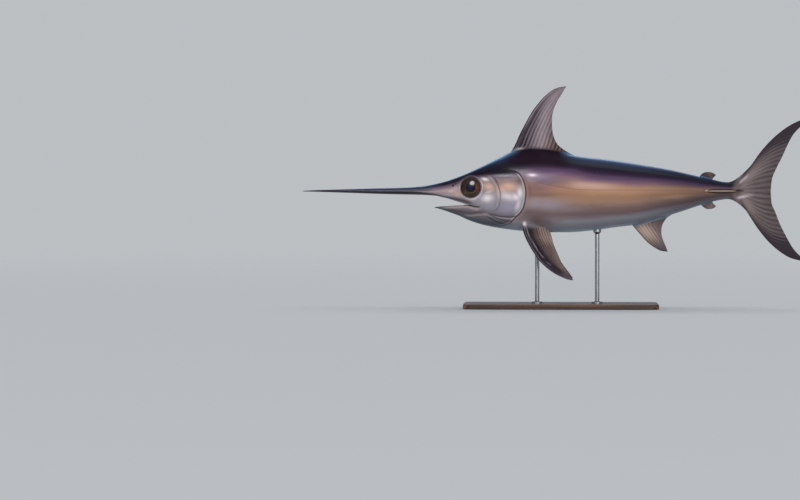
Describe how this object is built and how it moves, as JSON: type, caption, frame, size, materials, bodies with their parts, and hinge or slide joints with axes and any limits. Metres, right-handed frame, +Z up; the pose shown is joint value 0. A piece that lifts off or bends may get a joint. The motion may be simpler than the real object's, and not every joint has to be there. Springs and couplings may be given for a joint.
{
  "type": "swordfish",
  "caption": "Life-size still model of an adult swordfish with a long flat bill and crescent tail, held level by rods on a plain display stand.",
  "frame": {"origin": "middle of the whole part's box, on the floor under the stand", "axes": "+X from the bill towards the tail, +Y towards the fish's right side, +Z up"},
  "size_m": [3, 0.44, 1.314],
  "materials": {
    "skin_bill": "smooth satin skin over bone, dark above and mauve brown below",
    "skin_head": "wet silvery skin, dark purple above, bronze on the cheek",
    "skin_body": "wet scaleless skin, purple black back, bronze side, grey lilac belly",
    "skin_fin": "dark purple brown fin skin over fine light rays",
    "eye": "clear wet eye with a brown iris and a blue black pupil",
    "stand_wood": "dark satin varnished wood",
    "stand_metal": "brushed steel rod"
  },
  "bodies": {
    "root": {"bill": "skin_bill", "head": "skin_head", "lower_jaw": "skin_head", "gill_cover_left": "skin_head", "gill_cover_right": "skin_head", "eye_left": "eye", "eye_right": "eye", "trunk_front": "skin_body", "trunk_rear": "skin_body", "tail_stalk": "skin_body", "keel_left": "skin_fin", "keel_right": "skin_fin", "tail_fin_upper": "skin_fin", "tail_fin_lower": "skin_fin", "first_dorsal_fin": "skin_fin", "second_dorsal_fin": "skin_fin", "first_anal_fin": "skin_fin", "second_anal_fin": "skin_fin", "pectoral_fin_left": "skin_fin", "pectoral_fin_right": "skin_fin", "stand_base": "stand_wood", "stand_rod_front": "stand_metal", "stand_rod_rear": "stand_metal"}
  },
  "joints": []
}
